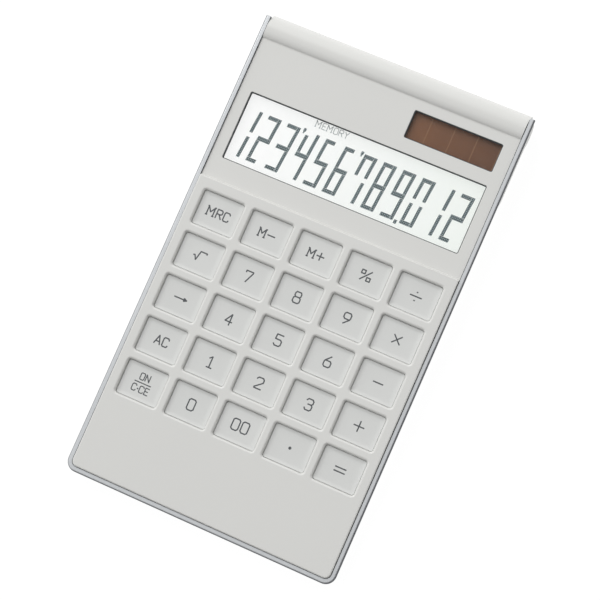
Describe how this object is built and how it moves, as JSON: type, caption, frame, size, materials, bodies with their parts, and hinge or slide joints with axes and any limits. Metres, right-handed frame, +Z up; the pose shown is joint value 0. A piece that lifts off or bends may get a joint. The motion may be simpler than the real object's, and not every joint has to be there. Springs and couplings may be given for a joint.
{
  "type": "desk calculator",
  "caption": "Slim solar desk calculator: flat sloping body with a silver side band, recessed rectangular keys, wide display, solar strip and a rounded roll along the rear edge.",
  "frame": {"origin": "middle of the footprint, on the desk under the feet", "axes": "+X to the right, +Y towards the display and the rear roll, +Z up; the deck rises 1.65 degrees to the rear"},
  "size_m": [0.1032, 0.1766, 0.0125],
  "materials": {
    "case_plastic": "light warm grey moulded ABS with a fine satin grain",
    "key_plastic": "light grey moulded caps, satin, slightly dished, printed dark grey legends",
    "frame_silver": "satin silver band, fine lengthwise grain, soft highlight",
    "clear_lens": "clear acrylic, polished",
    "cell_glass": "display cell glass with dark slanted seven-segment digits",
    "reflector_film": "white reflector film",
    "solar_film": "brown amorphous cell on glass, four strips parted by thin pale lines",
    "holder_plastic": "off-white moulding",
    "flex_film": "amber polyimide film",
    "board_laminate": "green solder mask on laminate",
    "resin": "black epoxy drop",
    "can_sleeve": "dark blue sleeve",
    "cell_steel": "nickel-plated steel can",
    "contact_nickel": "nickel-plated spring strip",
    "silicone": "grey translucent silicone sheet",
    "screw_steel": "zinc-plated steel",
    "foot_rubber": "dark grey rubber, matt"
  },
  "bodies": {
    "case": {"top_case": "case_plastic", "bottom_case": "case_plastic", "side_frame": "frame_silver", "lcd_window": "clear_lens", "solar_window": "clear_lens", "lcd_glass": "cell_glass", "lcd_reflector": "reflector_film", "lcd_holder": "holder_plastic", "lcd_ribbon": "flex_film", "solar_cell": "solar_film", "solar_flex": "flex_film", "keypad_mat": "silicone", "main_board": "board_laminate", "chip_cover": "resin", "capacitor": "can_sleeve", "battery": "cell_steel", "battery_contact_plus": "contact_nickel", "battery_contact_minus": "contact_nickel", "case_screw_1": "screw_steel", "case_screw_2": "screw_steel", "case_screw_3": "screw_steel", "case_screw_4": "screw_steel", "case_screw_5": "screw_steel", "case_screw_6": "screw_steel", "foot_front_left": "foot_rubber", "foot_front_right": "foot_rubber", "foot_rear_left": "foot_rubber", "foot_rear_right": "foot_rubber"},
    "key_mrc": {"key_mrc": "key_plastic"},
    "key_memory_minus": {"key_memory_minus": "key_plastic"},
    "key_memory_plus": {"key_memory_plus": "key_plastic"},
    "key_percent": {"key_percent": "key_plastic"},
    "key_divide": {"key_divide": "key_plastic"},
    "key_root": {"key_root": "key_plastic"},
    "key_7": {"key_7": "key_plastic"},
    "key_8": {"key_8": "key_plastic"},
    "key_9": {"key_9": "key_plastic"},
    "key_multiply": {"key_multiply": "key_plastic"},
    "key_backspace": {"key_backspace": "key_plastic"},
    "key_4": {"key_4": "key_plastic"},
    "key_5": {"key_5": "key_plastic"},
    "key_6": {"key_6": "key_plastic"},
    "key_minus": {"key_minus": "key_plastic"},
    "key_ac": {"key_ac": "key_plastic"},
    "key_1": {"key_1": "key_plastic"},
    "key_2": {"key_2": "key_plastic"},
    "key_3": {"key_3": "key_plastic"},
    "key_plus": {"key_plus": "key_plastic"},
    "key_on_cce": {"key_on_cce": "key_plastic"},
    "key_0": {"key_0": "key_plastic"},
    "key_00": {"key_00": "key_plastic"},
    "key_decimal": {"key_decimal": "key_plastic"},
    "key_equals": {"key_equals": "key_plastic"},
    "battery_cover": {"battery_cover": "case_plastic"}
  },
  "joints": [
    {"name": "key_mrc_press", "type": "slide", "parent": "case", "child": "key_mrc", "axis": [0, 0.0288, -0.9996], "range_m": [0, 0.001], "stiffness_N_per_m": 600, "deforming": ["keypad_mat"]},
    {"name": "key_memory_minus_press", "type": "slide", "parent": "case", "child": "key_memory_minus", "axis": [0, 0.0288, -0.9996], "range_m": [0, 0.001], "stiffness_N_per_m": 600, "deforming": ["keypad_mat"]},
    {"name": "key_memory_plus_press", "type": "slide", "parent": "case", "child": "key_memory_plus", "axis": [0, 0.0288, -0.9996], "range_m": [0, 0.001], "stiffness_N_per_m": 600, "deforming": ["keypad_mat"]},
    {"name": "key_percent_press", "type": "slide", "parent": "case", "child": "key_percent", "axis": [0, 0.0288, -0.9996], "range_m": [0, 0.001], "stiffness_N_per_m": 600, "deforming": ["keypad_mat"]},
    {"name": "key_divide_press", "type": "slide", "parent": "case", "child": "key_divide", "axis": [0, 0.0288, -0.9996], "range_m": [0, 0.001], "stiffness_N_per_m": 600, "deforming": ["keypad_mat"]},
    {"name": "key_root_press", "type": "slide", "parent": "case", "child": "key_root", "axis": [0, 0.0288, -0.9996], "range_m": [0, 0.001], "stiffness_N_per_m": 600, "deforming": ["keypad_mat"]},
    {"name": "key_7_press", "type": "slide", "parent": "case", "child": "key_7", "axis": [0, 0.0288, -0.9996], "range_m": [0, 0.001], "stiffness_N_per_m": 600, "deforming": ["keypad_mat"]},
    {"name": "key_8_press", "type": "slide", "parent": "case", "child": "key_8", "axis": [0, 0.0288, -0.9996], "range_m": [0, 0.001], "stiffness_N_per_m": 600, "deforming": ["keypad_mat"]},
    {"name": "key_9_press", "type": "slide", "parent": "case", "child": "key_9", "axis": [0, 0.0288, -0.9996], "range_m": [0, 0.001], "stiffness_N_per_m": 600, "deforming": ["keypad_mat"]},
    {"name": "key_multiply_press", "type": "slide", "parent": "case", "child": "key_multiply", "axis": [0, 0.0288, -0.9996], "range_m": [0, 0.001], "stiffness_N_per_m": 600, "deforming": ["keypad_mat"]},
    {"name": "key_backspace_press", "type": "slide", "parent": "case", "child": "key_backspace", "axis": [0, 0.0288, -0.9996], "range_m": [0, 0.001], "stiffness_N_per_m": 600, "deforming": ["keypad_mat"]},
    {"name": "key_4_press", "type": "slide", "parent": "case", "child": "key_4", "axis": [0, 0.0288, -0.9996], "range_m": [0, 0.001], "stiffness_N_per_m": 600, "deforming": ["keypad_mat"]},
    {"name": "key_5_press", "type": "slide", "parent": "case", "child": "key_5", "axis": [0, 0.0288, -0.9996], "range_m": [0, 0.001], "stiffness_N_per_m": 600, "deforming": ["keypad_mat"]},
    {"name": "key_6_press", "type": "slide", "parent": "case", "child": "key_6", "axis": [0, 0.0288, -0.9996], "range_m": [0, 0.001], "stiffness_N_per_m": 600, "deforming": ["keypad_mat"]},
    {"name": "key_minus_press", "type": "slide", "parent": "case", "child": "key_minus", "axis": [0, 0.0288, -0.9996], "range_m": [0, 0.001], "stiffness_N_per_m": 600, "deforming": ["keypad_mat"]},
    {"name": "key_ac_press", "type": "slide", "parent": "case", "child": "key_ac", "axis": [0, 0.0288, -0.9996], "range_m": [0, 0.001], "stiffness_N_per_m": 600, "deforming": ["keypad_mat"]},
    {"name": "key_1_press", "type": "slide", "parent": "case", "child": "key_1", "axis": [0, 0.0288, -0.9996], "range_m": [0, 0.001], "stiffness_N_per_m": 600, "deforming": ["keypad_mat"]},
    {"name": "key_2_press", "type": "slide", "parent": "case", "child": "key_2", "axis": [0, 0.0288, -0.9996], "range_m": [0, 0.001], "stiffness_N_per_m": 600, "deforming": ["keypad_mat"]},
    {"name": "key_3_press", "type": "slide", "parent": "case", "child": "key_3", "axis": [0, 0.0288, -0.9996], "range_m": [0, 0.001], "stiffness_N_per_m": 600, "deforming": ["keypad_mat"]},
    {"name": "key_plus_press", "type": "slide", "parent": "case", "child": "key_plus", "axis": [0, 0.0288, -0.9996], "range_m": [0, 0.001], "stiffness_N_per_m": 600, "deforming": ["keypad_mat"]},
    {"name": "key_on_cce_press", "type": "slide", "parent": "case", "child": "key_on_cce", "axis": [0, 0.0288, -0.9996], "range_m": [0, 0.001], "stiffness_N_per_m": 600, "deforming": ["keypad_mat"]},
    {"name": "key_0_press", "type": "slide", "parent": "case", "child": "key_0", "axis": [0, 0.0288, -0.9996], "range_m": [0, 0.001], "stiffness_N_per_m": 600, "deforming": ["keypad_mat"]},
    {"name": "key_00_press", "type": "slide", "parent": "case", "child": "key_00", "axis": [0, 0.0288, -0.9996], "range_m": [0, 0.001], "stiffness_N_per_m": 600, "deforming": ["keypad_mat"]},
    {"name": "key_decimal_press", "type": "slide", "parent": "case", "child": "key_decimal", "axis": [0, 0.0288, -0.9996], "range_m": [0, 0.001], "stiffness_N_per_m": 600, "deforming": ["keypad_mat"]},
    {"name": "key_equals_press", "type": "slide", "parent": "case", "child": "key_equals", "axis": [0, 0.0288, -0.9996], "range_m": [0, 0.001], "stiffness_N_per_m": 600, "deforming": ["keypad_mat"]},
    {"name": "battery_cover_turn", "type": "hinge", "parent": "case", "child": "battery_cover", "pos_m": [-0.022, 0.06691, 0.00216], "axis": [0, -0.0288, 0.9996], "range_deg": [0, 60]}
  ]
}
